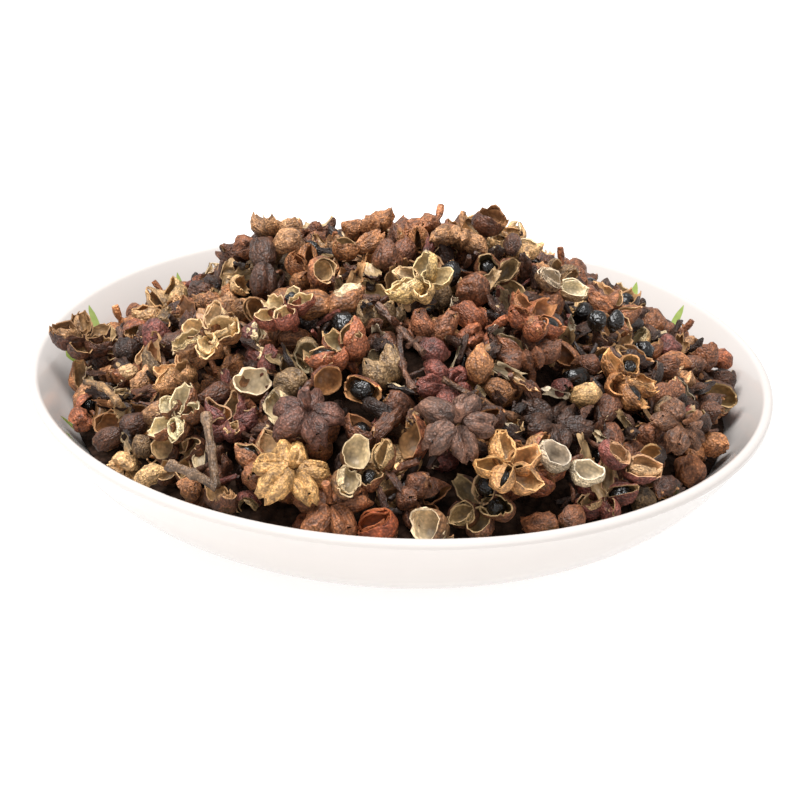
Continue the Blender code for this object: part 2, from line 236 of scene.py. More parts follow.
# Glazed porcelain: a warm white body under a clear, slightly wavy glaze with a soft gloss.
# Leaf strokes in two greens lie in a loose row below the rim, one for each cell round the dish.
STROKES_ROUND = 30
STROKES_MISSING = 0.2  # share of the cells that have none
STROKE_ROW = RIM_RADIUS - 6 * MM
STROKE_DRIFT = 5 * MM  # how wide the row is
STROKE_LEAN = 2.6  # radians between the strokes that lean most to either side
STROKE_HALF_LENGTH = 3.1 * MM
STROKE_HALF_WIDTH = 1.15 * MM
porcelain, glaze = new_material(
    "glazed_porcelain", Roughness=0.16, IOR=1.5, Coat_Weight=0.35, Coat_Roughness=0.06
)


def math_node(operation, first, second=0.0):
    """The result of one sum in the porcelain's material."""
    return calculate(porcelain, operation, first, second)


place = add_node(porcelain, "ShaderNodeTexCoord").outputs["Object"]
split = add_node(porcelain, "ShaderNodeSeparateXYZ", {0: place})
x, y, z = split.outputs
squares = math_node("ADD", math_node("MULTIPLY", x, x), math_node("MULTIPLY", y, y))
radius = math_node("SQRT", squares)
turn = math_node("MULTIPLY", math_node("ARCTAN2", y, x), STROKES_ROUND / math.tau)
cell = math_node("FLOOR", turn)
draw_cell = add_node(porcelain, "ShaderNodeTexWhiteNoise", {"W": cell}, noise_dimensions="1D")
drawn = add_node(porcelain, "ShaderNodeSeparateColor", {0: draw_cell.outputs["Color"]})
chance, drift, lean = drawn.outputs
from_middle = math_node("SUBTRACT", math_node("FRACT", turn), 0.5)
across = math_node("MULTIPLY", from_middle, math.tau / STROKES_ROUND)
sideways = math_node("MULTIPLY", across, radius)
off_row = math_node("MULTIPLY", math_node("SUBTRACT", drift, 0.5), STROKE_DRIFT)
row = math_node("ADD", STROKE_ROW, off_row)
outwards = math_node("SUBTRACT", radius, row)
tilt = math_node("MULTIPLY", math_node("SUBTRACT", lean, 0.5), STROKE_LEAN)
along = math_node(
    "ADD",
    math_node("MULTIPLY", sideways, math_node("COSINE", tilt)),
    math_node("MULTIPLY", outwards, math_node("SINE", tilt)),
)
beside = math_node(
    "SUBTRACT",
    math_node("MULTIPLY", outwards, math_node("COSINE", tilt)),
    math_node("MULTIPLY", sideways, math_node("SINE", tilt)),
)
long_part = math_node("POWER", math_node("DIVIDE", along, STROKE_HALF_LENGTH), 2.0)
wide_part = math_node("ABSOLUTE", math_node("DIVIDE", beside, STROKE_HALF_WIDTH))
inside_leaf = math_node("SUBTRACT", 1.0, math_node("ADD", long_part, wide_part))
leaf = math_node("GREATER_THAN", inside_leaf, 0.0)
inside_wall = math_node("GREATER_THAN", z, UNDERSIDE + WALL)
facing = add_node(porcelain, "ShaderNodeNewGeometry").outputs["Normal"]
facing_parts = add_node(porcelain, "ShaderNodeSeparateXYZ", {0: facing})
facing_up = math_node("GREATER_THAN", facing_parts.outputs["Z"], 0.1)
painted = math_node("MULTIPLY", math_node("MULTIPLY", leaf, inside_wall), facing_up)
painted = math_node("MULTIPLY", painted, math_node("GREATER_THAN", chance, STROKES_MISSING))
brushing = add_node(
    porcelain, "ShaderNodeTexNoise", {"Vector": place, "Scale": 1 / (1.5 * MM), "Detail": 3.0}
)
green = mixed(porcelain, brushing.outputs["Fac"], linear("#6c8233"), linear("#a5b364"))
body = add_node(porcelain, "ShaderNodeTexNoise", {"Vector": place, "Scale": 1 / (30 * MM), "Detail": 2.0})
white = mixed(porcelain, body.outputs["Fac"], linear("#c3bcb7"), linear("#c9c3bf"))
colour = mixed(porcelain, painted, white, green)
glaze_waves = add_node(
    porcelain, "ShaderNodeTexNoise", {"Vector": place, "Scale": 1 / (9 * MM), "Detail": 1.0}
)
give_surface(porcelain, glaze, colour, glaze_waves.outputs["Fac"], 0.25, 0.1 * MM)

dish.data.materials.append(porcelain)
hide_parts("dish")
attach(dish, "root")

# ------------------------------------------------------------------ how the heap lies
# Several hundred fruits, husks, seeds and stalks, poured into the dish and heaped by hand.
# They settle one by one, each at the lowest of a few random places, on those below it.

# The mound's mean surface: a smooth dome that falls away from its peak, with a few knolls and
# dips, each given by its place and its rise in mm.
PEAK = 52 * MM
FALL = 37 * MM
FALL_POWER = 1.64
MOUND_CENTRE = Vector((1 * MM, -5 * MM))
KNOLL_WIDTH = 9 * MM
KNOLLS = ((-28, 0, 9), (-4, 2, 2), (18, 0, 8), (-50, 8, -3), (40, 8, 1), (65, 4, 5), (-66, 5, 4))
EDGE_RADIUS = 72.5 * MM  # no fruit reaches past this, and no stalk past the next
STALK_EDGE = 60 * MM
EDGE_THICKNESS = 5.5 * MM
SHORE = 2 * MM  # no fruit settles where the mound has thinned out to less than this
BED_DEPTH = 12 * MM  # how far the bed that the fruits land on lies below the mound
DISH_GAP = 0.6 * MM
SEED = 11
TRIES = 24
GRID = 1.5 * MM
HOLLOW_SHARE = 5  # fruits land in the deepest fifth of the heap
SQUEEZE = 0.86  # how near two fruits come, as a share of their radii together
SIZE_SPREAD = (0.88, 1.14)
EQUAL = 6  # decimals of a metre: places that are level to a micrometre count as equal
LOBES = 5
# How many fruits of each kind are tried in each layer, from the bottom up.
LAYERS = (
    {"star": 30, "cluster": 25, "berry": 60},
    {"star": 45, "cluster": 35, "pair": 30, "cup": 30, "berry": 40},
    {"star": 60, "cluster": 50, "pair": 30},
    {"seed": 80, "cup": 150, "berry": 150, "pair": 40, "stalk": 26},
    {"scrap": 420, "chip": 420},
)
BURIED_LAYERS = 2
FRUIT_LAYERS = 4  # the layers of whole fruits, before the crumbs that fill the gaps
# How much each kind tends to lie face up, and how many mm it may stand above the mound.
UPRIGHT = {"star": 0.7, "cluster": 0.6, "pair": 0.6, "cup": 0.6, "berry": 0.3}
PROUD = dict(star=4.2, cluster=3.8, pair=2.6, cup=2, berry=2, seed=1.2, stalk=2, scrap=1, chip=1)
# The fruits that catch the eye, laid with their open side to the front: kind, x and y in mm,
# then the colours of skin and lining and how far the pods have opened, from 0 to 1.
FRONT_LEAN = (0, -1.1, 1.3)
FEATURED_ROOM = 6.5 * MM  # no later fruit is laid as near as this to a featured one
FEATURED = (
    ("cluster", -18, -62, "#bf9762", "#d8bd8a", 0),
    ("star", 3, -22, "#bb9d6c", "#dcc398", 0.3),
    ("star", -22, -26, "#8a4f40", "#e0c69b", 0.9),
    ("cluster", -16, -52, "#64443a", "#b08a66", 0),
    ("pair", 41, -50, "#87504a", "#d9b088", 0.85),
    ("pair", 30, -56, "#cdbfa4", "#e3d7c0", 0.6),
    ("star", 19, -61, "#c0915f", "#d7ad78", 0.12),
    ("cup", -3, -67, "#9c5535", "#ad6a42", 0.2),
    ("cup", 6, -66, "#8a674a", "#e6d2b0", 0.6),
    ("pair", -8, -62, "#7a5a3e", "#dcc7a0", 1),
    ("star", 42, -28, "#a9784c", "#cf9d68", 0.9),
    ("pair", -10, -44, "#74442e", "#d49f6e", 1),
    ("cup", -27, -37, "#8a6548", "#ead8b8", 1),
    ("cup", -16, -14, "#8c5a3c", "#dfbf92", 1),
    ("cup", -6, -17, "#7d5c42", "#bfa57c", 1),
    ("cluster", 10, -57, "#6c5044", "#a98a68", 0),
    ("star", 24, -27, "#94593b", "#b17a54", 0.3),
    ("pair", 30, -11, "#9c7f60", "#e6dac0", 0.8),
    ("star", -40, -44, "#7c5236", "#e5d6b0", 0.8),
    ("star", -36, -29, "#8b6242", "#dcc196", 0.9),
    ("star", -64, -4, "#5a3a2c", "#a8845e", 0.8),
    ("seed", 41, -13, "#3c271c", "#956746", 0),
    ("seed", 37, -17, "#3c271c", "#956746", 0),
    ("cluster", 52, -36, "#74513c", "#a98a68", 0),
)


def lobe_ring(distance, height, radius):
    """The balls of a fruit's five pods, round its stalk."""
    angles = [math.tau * lobe / LOBES for lobe in range(LOBES)]
    return [(distance * math.cos(angle), distance * math.sin(angle), height, radius) for angle in angles]


# The balls that stand for each kind while it settles: x, y, z and radius in mm.
BALLS = {
    "star": lobe_ring(4, 0.4, 2.8) + [(0, 0, -1, 2.4)],
    "cluster": lobe_ring(3.6, 0, 2.8) + [(0, 0, -0.4, 3)],
    "pair": [(2.9, 0, 0, 2.9), (-2.9, 0, 0, 2.9)],
    "cup": [(0, 0, 0, 3.4)],
    "berry": [(0, 0, 0, 3.1)],
    "seed": [(0, 0, 0, 2.3)],
    "stalk": [(x, 0, 0, 0.75) for x in np.linspace(-7.5, 7.5, 11)],
    "scrap": [(0, 0, 0, 1.5)],
    "chip": [(0, 0, 0, 1)],
}


# The inner wall in the few steps that the fruits settle on, up to its rounded lip.
floor_curve = inner_curve(7)
floor_curve[-1] = (RIM_RADIUS - WALL * 0.85, RIM_HEIGHT - WALL / 2 * 0.45)


def dish_floor(radius):
    """Height of the dish's inner face at this distance from its axis."""
    radii, heights = zip(*floor_curve)
    return np.interp(radius, radii, heights)


def open_mound(x, y):
    """Height of the mound as it would be without the dish's wall."""
    distance = np.hypot(x - MOUND_CENTRE.x, y - MOUND_CENTRE.y)
    height = PEAK - FALL * (distance / RIM_RADIUS) ** FALL_POWER
    for knoll_x, knoll_y, rise in np.array(KNOLLS) * MM:
        height = height + rise * np.exp(-((x - knoll_x) ** 2 + (y - knoll_y) ** 2) / KNOLL_WIDTH**2)
    return height


def mound_height(x, y):
    """Height of the heap's mean surface, one fruit thick where it thins out on the dish's wall."""
    return np.maximum(open_mound(x, y), dish_floor(np.hypot(x, y)) + EDGE_THICKNESS)


def random_axes(draw, lean):
    """Three unit vectors as columns, the third drawn towards the lean."""
    axis = draw.normal(size=3)
    axis = axis / np.linalg.norm(axis) + lean
    axis /= np.linalg.norm(axis)
    across = np.cross(draw.normal(size=3), axis)
    across /= np.linalg.norm(across)
    return np.column_stack((across, np.cross(axis, across), axis))


def resting_height(balls, radii, landed):
    """How high a fruit comes to rest on the dish, the bed and the fruits that have landed."""
    x, y, offset = balls.T
    distance = np.hypot(x, y)
    slopes = np.array((0, 0.4, 0.8, 1.2))[:, None]
    on_dish = dish_floor(distance + radii * np.sin(slopes)) + radii * np.cos(slopes) + DISH_GAP
    on_bed = mound_height(x, y) - BED_DEPTH + radii
    height = np.max(np.maximum(on_dish.max(axis=0), on_bed) - offset)
    if len(landed):
        reach = (radii[:, None] + landed[:, 3]) * SQUEEZE
        rise = reach**2 - (x[:, None] - landed[:, 0]) ** 2 - (y[:, None] - landed[:, 1]) ** 2
        on_fruit = landed[:, 2] + np.sqrt(np.maximum(rise, 0)) - offset[:, None]
        height = max(height, on_fruit[rise > 0].max(initial=0))
    return height


def lowest_place(model, lean, edge, hollows, landed, draw):
    """Of a few of the hollows, the place inside the edge where the fruit stands least above the mound."""
    size = draw.uniform(*SIZE_SPREAD)
    best = {"above": math.inf}
    for x, y in draw.choice(hollows, TRIES):
        axes = random_axes(draw, lean)
        balls = model[:, :3] @ axes.T * size + (x, y, 0)
        radii = model[:, 3] * size
        if np.max(np.hypot(balls[:, 0], balls[:, 1]) + radii) > edge:
            continue
        height = resting_height(balls, radii, landed)
        balls[:, 2] += height
        above = np.max(balls[:, 2] + radii - mound_height(balls[:, 0], balls[:, 1]))
        above = round(float(above), EQUAL)
        if above < best["above"]:
            landing = np.column_stack((balls, radii))
            best = dict(above=above, place=(x, y, height), axes=axes, size=size, balls=landing)
    return best


def settle_fruits():
    """Every fruit that finds room, with its kind, place, axes, size and balls."""
    draw = np.random.default_rng(SEED)
    models = {kind: np.array(rows) * MM for kind, rows in BALLS.items()}
    line = np.arange(-EDGE_RADIUS, EDGE_RADIUS, GRID)
    reach = EDGE_RADIUS - BALLS["seed"][0][3] * MM
    spots = np.array([(x, y) for x in line for y in line if math.hypot(x, y) < reach])
    spots = spots[open_mound(*spots.T) > dish_floor(np.hypot(*spots.T)) + SHORE]
    mound = mound_height(*spots.T)
    surface = np.maximum(mound - BED_DEPTH, dish_floor(np.hypot(*spots.T)))
    kept_clear = np.zeros(len(spots), bool)
    landed = np.empty((0, 4))
    fruits = []

    def settle(kind, lean, hollows, proud, look=None):
        """Lays one fruit in one of the hollows, unless it would stand too proud there."""
        nonlocal landed, surface
        edge = STALK_EDGE if kind == "stalk" else EDGE_RADIUS
        found = lowest_place(models[kind], lean, edge, hollows, landed, draw)
        if found["above"] > proud:
            return
        landed = np.vstack((landed, found["balls"]))
        fruits.append({"kind": kind, "look": look, **found})
        for x, y, z, radius in found["balls"]:
            cap = radius**2 - (spots[:, 0] - x) ** 2 - (spots[:, 1] - y) ** 2
            surface = np.where(cap > 0, np.maximum(surface, z + np.sqrt(np.maximum(cap, 0))), surface)

    for number, layer in enumerate(LAYERS):
        if number == BURIED_LAYERS:
            for kind, x, y, *look in FEATURED:
                place = np.array([(x, y)]) * MM
                settle(kind, FRONT_LEAN, place, RIM_HEIGHT, look)
                kept_clear |= np.linalg.norm(spots - place, axis=1) < FEATURED_ROOM
        kinds = [kind for kind, count in layer.items() for _ in range(count)]
        for kind in draw.permutation(kinds):
            depths = np.round((surface - mound) / MM, 2)
            if number < FRUIT_LAYERS:
                depths[kept_clear] = math.inf
            hollows = spots[np.argsort(depths, kind="stable")[: len(spots) // HOLLOW_SHARE]]
            settle(kind, (0, 0, UPRIGHT.get(kind, 0)), hollows, PROUD[kind] * MM)
    return fruits


fruits = settle_fruits()

# ------------------------------------------------------------------ bed
# Under the fruits that show lies the rest of the heap, which is only seen as darkness in the
# gaps: one lumpy solid of packed husks, on the dish's floor.

BED_SIDES = 48
BED_CUTS = 9
BED_RADIUS = 66 * MM
BED_SINK = 9.5 * MM  # how far its top lies below the mound
BLANK = 10 * MM  # thickness of the flat blank that it is shaped from
LUMP = 0.9 * MM
LUMP_WIDTHS = (1.7 * MM, 1.9 * MM)


def bed_point(radius, angle):
    """A point of the bed's lumpy top, under the mound and clear of the dish."""
    x, y = radius * math.cos(angle), radius * math.sin(angle)
    lump = LUMP * math.sin(x / LUMP_WIDTHS[0]) * math.cos(y / LUMP_WIDTHS[1])
    height = float(mound_height(x, y)) - BED_SINK + lump
    return x, y, max(height, float(dish_floor(radius)) + DISH_GAP)


bpy.ops.object.select_all(action="DESELECT")
bpy.ops.mesh.primitive_circle_add(vertices=BED_SIDES, radius=BED_RADIUS, fill_type="TRIFAN")
bed = bpy.context.object
bed.name = "husk_bed"
bpy.ops.object.mode_set(mode="EDIT")
bpy.ops.mesh.select_all(action="SELECT")
bpy.ops.mesh.subdivide(number_cuts=BED_CUTS, quadcorner="INNERVERT")
bpy.ops.mesh.extrude_region_move(TRANSFORM_OT_translate={"value": (0, 0, BLANK)})
bpy.ops.object.mode_set(mode="OBJECT")
for vert in bed.data.vertices:
    flat_radius = vert.co.xy.length
    if vert.co.z > BLANK / 2:
        vert.co = bed_point(flat_radius, math.atan2(vert.co.y, vert.co.x))
    else:
        vert.co.z = float(dish_floor(flat_radius)) + DISH_GAP / 2
bpy.ops.object.mode_set(mode="EDIT")
bpy.ops.mesh.select_all(action="SELECT")
bpy.ops.mesh.normals_make_consistent(inside=False)
bpy.ops.object.mode_set(mode="OBJECT")
bed.data.shade_smooth()

# Crushed husk: a dark brown painted darker still, nearly black, as painted shade of the deep gaps, and
# darkest between its bits. The grain of broken bits stands out as relief.
crushed_husk_painted_shade, crushed_shader = new_material("crushed_husk_painted_shade", Roughness=0.9, Specular_IOR_Level=0.1)
bed_place = add_node(crushed_husk_painted_shade, "ShaderNodeTexCoord").outputs["Object"]
bits = add_node(crushed_husk_painted_shade, "ShaderNodeTexVoronoi", {"Vector": bed_place, "Scale": 1 / (1.6 * MM)})
bit_colour_painted_shade = mixed(crushed_husk_painted_shade, bits.outputs["Distance"], linear("#3d2b21"), linear("#1a120d"))
give_surface(crushed_husk_painted_shade, crushed_shader, bit_colour_painted_shade, bits.outputs["Distance"], 1.0, 1.2 * MM)
bed.data.materials.append(crushed_husk_painted_shade)
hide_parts("evodia_heap")
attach(bed, "root")

# ------------------------------------------------------------------ open capsules
# A ripe fruit is a star of five leathery pods on one stalk. Each dries brown, splits along
# its top and gapes, showing a pale lining and sometimes the black seed.

POD_LENGTH = 7.2 * MM
POD_WIDTH = 5.5 * MM
POD_HEIGHT = 5.6 * MM
CUP_RADIUS = 3.3 * MM
SHELL = 0.29 * MM
SKIN, LINING, EDGE, SEED_COAT = range(4)


def husk_material(name, contrast, ridge, speck, depth, roughness, specular):
    """A material in each fruit's own tint: its ridges run along the pods, between fine raised specks.

    Ridge and speck are how wide those are and depth is how far they stand out, in mm. The colour
    is partly the husk's own mottled tone and partly painted light and shade: lighter on the ridges
    and on the raised specks, darker in the furrows and between the specks.
    """
    material, shader = new_material(name, Roughness=roughness, Specular_IOR_Level=specular)
    tint = add_node(material, "ShaderNodeAttribute", attribute_name="tint").outputs["Vector"]
    grain = add_node(material, "ShaderNodeAttribute", attribute_name="grain").outputs["Vector"]
    lengthwise = add_node(material, "ShaderNodeVectorMath", {0: grain, 1: (0.3, 1, 1)}, operation="MULTIPLY")
    streaks = add_node(
        material,
        "ShaderNodeTexNoise",
        {
            "Vector": lengthwise.outputs["Vector"],
            "Scale": 1 / (ridge * MM),
            "Detail": 3.0,
            "Distortion": 0.3,
        },
    ).outputs["Fac"]
    patches = add_node(
        material, "ShaderNodeTexNoise", {"Vector": grain, "Scale": 1 / (1.8 * MM), "Detail": 4.0}
    ).outputs["Fac"]
    specks = add_node(
        material, "ShaderNodeTexVoronoi", {"Vector": grain, "Scale": 1 / (speck * MM)}
    ).outputs["Distance"]
    light = add_node(
        material,
        "ShaderNodeMapRange",
        {
            "Value": calculate(material, "ADD", streaks, patches),
            "From Min": 0.8,
            "From Max": 1.25,
            "To Min": 0.0,
            "To Max": 1.0,
        },
    )
    # Painted light and shade, mixed with the husk's own mottling: the tint goes lighter along the ridges and
    # darker in the furrows, and varies at random with the patches.
    dark_tone = [1 - contrast * 0.9, 1 - contrast, 1 - contrast * 1.1]
    light_tone = [1 + contrast * 1.3, 1 + contrast * 1.1, 1 + contrast * 0.8]
    darker = add_node(material, "ShaderNodeVectorMath", {0: tint, 1: dark_tone}, operation="MULTIPLY")
    lighter = add_node(material, "ShaderNodeVectorMath", {0: tint, 1: light_tone}, operation="MULTIPLY")
    ridge_shade_and_mottling = mixed(material, light.outputs["Result"], darker.outputs["Vector"], lighter.outputs["Vector"])
    # Painted light and shade: lighter on each raised speck and darker in the dips between them.
    speck_painted_shade = add_node(
        material,
        "ShaderNodeMapRange",
        {
            "Value": specks,
            "From Min": 0.1,
            "From Max": 0.65,
            "To Min": 1 + contrast * 0.6,
            "To Max": 1 - contrast * 0.7,
        },
    )
    colour = add_node(
        material,
        "ShaderNodeVectorMath",
        {0: ridge_shade_and_mottling, "Scale": speck_painted_shade.outputs["Result"]},
        operation="SCALE",
    )
    # The ridges stand out about three times as far as the specks.
    ridges = calculate(material, "MULTIPLY", streaks, 1.7)
    dips = calculate(material, "MULTIPLY", specks, 0.55)
    relief = calculate(material, "SUBTRACT", ridges, dips)
    give_surface(material, shader, colour.outputs["Vector"], relief, 1.0, depth * MM)
    return material


MATERIALS = (
    # Dried husk skin: leathery, brown, with lengthwise wrinkles, raised oil glands and a dull sheen.
    husk_material(
        "dried_husk_skin", contrast=0.55, ridge=0.7, speck=0.5, depth=0.34, roughness=0.5, specular=0.5
    ),
    # Husk lining: a smooth papery layer, cream to tan, with a faint satin gloss.
    husk_material(
        "papery_husk_lining", contrast=0.3, ridge=1.2, speck=0.8, depth=0.12, roughness=0.4, specular=0.4
    ),
    # Torn husk edge: matt and fibrous, in a tone between those of the lining and the skin.
    husk_material(
        "torn_husk_edge", contrast=0.25, ridge=0.7, speck=0.5, depth=0.08, roughness=0.7, specular=0.2
    ),
    # Seed coat: hard and glossy, nearly black, under a net of fine wrinkles.
    husk_material(
        "glossy_seed_coat", contrast=0.3, ridge=1.1, speck=0.7, depth=0.3, roughness=0.2, specular=0.5
    ),
)


def shape_of(piece, slot=SKIN):
    """A modelled piece as arrays to copy from. Its faces take one slot, before any wall is added."""
    for material in MATERIALS:
        piece.data.materials.append(material)
    for face in piece.data.polygons:
        face.material_index = slot
    bpy.context.view_layer.objects.active = piece
    for modifier in list(piece.modifiers):
        bpy.ops.object.modifier_apply(modifier=modifier.name)
    mesh = piece.data
    shape = {
        "points": np.array([vert.co for vert in mesh.vertices]),
        "faces": [tuple(face.vertices) for face in mesh.polygons],
        "slots": np.array([face.material_index for face in mesh.polygons]),
        "corners": np.array([face.loop_total for face in mesh.polygons]),
    }
    torn_faces = [face.vertices for face in mesh.polygons if face.material_index == EDGE]
    shape["torn"] = np.array(sorted({corner for face in torn_faces for corner in face}), int)
    bpy.data.objects.remove(piece)
    return shape


def select_where(piece, kind, chosen):
    """Goes to edit mode with only the faces or points selected whose place a test chooses."""
    bpy.ops.object.mode_set(mode="EDIT")
    bpy.ops.mesh.select_mode(type=kind)
    bpy.ops.mesh.select_all(action="DESELECT")
    bpy.ops.object.mode_set(mode="OBJECT")
    if kind == "FACE":
        for face in piece.data.polygons:
            face.select = chosen(face.center)
    else:
        for vert in piece.data.vertices:
            vert.select = chosen(vert.co)
    bpy.ops.object.mode_set(mode="EDIT")


def pull(piece, chosen, value, reach):
    """Pulls the points that a test chooses, and those within reach of them less and less."""
    select_where(piece, "VERT", chosen)
    bpy.ops.transform.translate(
        value=value, use_proportional_edit=True, proportional_edit_falloff="SMOOTH", proportional_size=reach
    )
    bpy.ops.object.mode_set(mode="OBJECT")


def closed_pod(rings=9):
    """A plump pod along X, with a beak at +X that turns up and a narrow base at -X."""
    bpy.ops.object.select_all(action="DESELECT")
    bpy.ops.mesh.primitive_uv_sphere_add(
        segments=16, ring_count=rings, radius=0.5, scale=(POD_HEIGHT, POD_WIDTH, POD_LENGTH)
    )
    piece = bpy.context.object
    piece.rotation_euler = (0, math.pi / 2, 0)
    bpy.ops.object.transform_apply()
    pull(piece, lambda place: place.x > POD_LENGTH * 0.49, (0.8 * MM, 0, 1.9 * MM), 2.6 * MM)
    pull(piece, lambda place: place.x < -POD_LENGTH * 0.49, (0, 0, -0.8 * MM), 3 * MM)
    return piece


def give_wall(piece):
    """Gives an open shell its wall: skin outside, lining inside and a torn edge between them."""
    wall = piece.modifiers.new("wall", "SOLIDIFY")
    wall.thickness = SHELL
    wall.offset = -1
    wall.material_offset = LINING
    wall.material_offset_rim = EDGE


def open_pod(gape):
    """A pod with its top cut open from end to end, over a gape in degrees."""
    piece = closed_pod()
    select_where(piece, "FACE", lambda place: abs(math.degrees(math.atan2(place.y, place.z))) < gape / 2)
    bpy.ops.mesh.delete(type="FACE")
    bpy.ops.object.mode_set(mode="OBJECT")
    give_wall(piece)
    return shape_of(piece)


def spread_valves(shape, left, right):
    """A copy of a pod with its halves turned about its keel: a share under 1 opens the mouth wider."""
    x, y, z = shape["points"].T
    angle = np.arctan2(y, -z)
    angle = np.where(angle > 0, angle * left, angle * right)
    radius = np.hypot(y, z)
    return {**shape, "points": np.column_stack((x, radius * np.sin(angle), -radius * np.cos(angle)))}


slit_pod = open_pod(30)
wide_pod = open_pod(80)


def cup(cut):
    """A round shell with a level mouth at a share of its radius, drawn to a blunt beak on one side."""
    bpy.ops.object.select_all(action="DESELECT")
    bpy.ops.mesh.primitive_uv_sphere_add(segments=18, ring_count=9, radius=CUP_RADIUS)
    piece = bpy.context.object
    piece.scale = (1.06, 0.94, 0.95)
    bpy.ops.object.transform_apply()
    select_where(piece, "FACE", lambda place: place.z > CUP_RADIUS * cut)
    bpy.ops.mesh.delete(type="FACE")
    bpy.ops.object.mode_set(mode="OBJECT")
    pull(piece, lambda place: place.x > CUP_RADIUS * 0.9, (0.6 * MM, 0, 0.9 * MM), 2.4 * MM)
    give_wall(piece)
    return shape_of(piece)


shallow_cup = cup(0.2)
deep_cup = cup(0.5)


def oval_ball(radius, scale, subdivisions, slot):
    """A ball of even faces, scaled to an oval and dented on top and at one end, in one material slot."""
    bpy.ops.object.select_all(action="DESELECT")
    bpy.ops.mesh.primitive_ico_sphere_add(subdivisions=subdivisions, radius=radius)
    piece = bpy.context.object
    piece.scale = scale
    bpy.ops.object.transform_apply()
    pull(piece, lambda place: place.z > radius * scale[2] * 0.97, (0, 0, -0.12 * radius), radius * 0.45)
    pull(piece, lambda place: place.x < -radius * scale[0] * 0.97, (-0.12 * radius, 0, 0), radius * 0.5)
    return shape_of(piece, slot)


SEED_RADIUS = 2.35 * MM
seed = oval_ball(SEED_RADIUS, (1, 0.86, 0.82), 3, SEED_COAT)


def stalk(length, radius, bow, steps, knot, sides=7):
    """A bowed stalk along X, with a swollen knot at its middle and one near its far end."""
    bpy.ops.object.select_all(action="DESELECT")
    bpy.ops.mesh.primitive_circle_add(
        vertices=sides, radius=radius, fill_type="NGON", rotation=(0, math.pi / 2, 0)
    )
    piece = bpy.context.object
    piece.location.x = -length / 2
    bpy.ops.object.transform_apply()
    bpy.ops.object.mode_set(mode="EDIT")
    bpy.ops.mesh.select_all(action="SELECT")
    width = 1
    for step in range(1, steps + 1):
        rise = bow * (math.sin(step / steps * math.pi) - math.sin((step - 1) / steps * math.pi))
        bpy.ops.mesh.extrude_region_move(TRANSFORM_OT_translate={"value": (length / steps, 0, rise)})
        if step in (steps // 2, steps - 1):
            wanted = knot
        else:
            wanted = 0.85 if step < steps else 1.1
        bpy.ops.transform.resize(value=(1, wanted / width, wanted / width))
        width = wanted
    bpy.ops.mesh.select_all(action="SELECT")
    bpy.ops.mesh.normals_make_consistent(inside=False)
    bpy.ops.object.mode_set(mode="OBJECT")
    return shape_of(piece)


short_stalk = stalk(4.2 * MM, 0.65 * MM, 0.2 * MM, 4, 1.3)

# The colours of skins and linings, with how common each is.
SKINS = {
    "#3c271c": 3,
    "#4f3325": 4,
    "#633f2c": 5,
    "#784d35": 5,
    "#8c5c3e": 5,
    "#9e6d48": 4,
    "#ae835e": 2.5,
    "#c39f73": 1.5,
    "#7a644a": 2,
    "#6f3f37": 1.1,
    "#8d5438": 2,
    "#74453f": 0.6,
}
LININGS = {
    "#cfae83": 4,
    "#bd956a": 4,
    "#dbc5a0": 3,
    "#a97e56": 3,
    "#b89d76": 2.5,
    "#956846": 2,
    "#e8d8bb": 1.5,
}
COAT_BLACK = np.array(linear("#100d0b"))


def pick(draw, chances):
    """One of the colours, each as likely as its number says, a little lighter or darker."""
    weights = np.array(list(chances.values()), float)
    colour = draw.choice(list(chances), p=weights / weights.sum())
    return np.array(linear(colour)) * draw.uniform(0.8, 1.2)


def fruit_tints(draw, look=None, skins=SKINS):
    """A fruit's own colours for its skin, lining, torn edge and seed coat."""
    skin = np.array(linear(look[0])) if look else pick(draw, skins)
    lining = np.array(linear(look[1])) if look else pick(draw, LININGS)
    edge = lining * 0.68 + skin * 0.34
    return np.array((skin, lining, edge, COAT_BLACK))


def new_batch():
    """An empty batch, which gathers the copies that become one piece."""
    return {"points": [], "faces": [], "slots": [], "tints": [], "grain": [], "total": 0}


def slow_waves(points, draw):
    """Three waves through a copy, each in its own direction, from about -1 to 1 in all."""
    height = np.zeros(len(points))
    for wavelength in (9 * MM, 6 * MM, 4 * MM):
        wave = draw.normal(size=3) * math.tau / wavelength
        height += np.sin(points @ wave + draw.uniform(0, math.tau)) / 2
    return height


def torn_edge(points, draw):
    """Short waves along the points of a mouth's edge, the same on its inner and outer side."""
    turn = np.arctan2(points[:, 1], points[:, 0])
    return np.sin(5 * turn + draw.uniform(0, math.tau)) + 0.7 * np.sin(9 * turn + draw.uniform(0, math.tau))


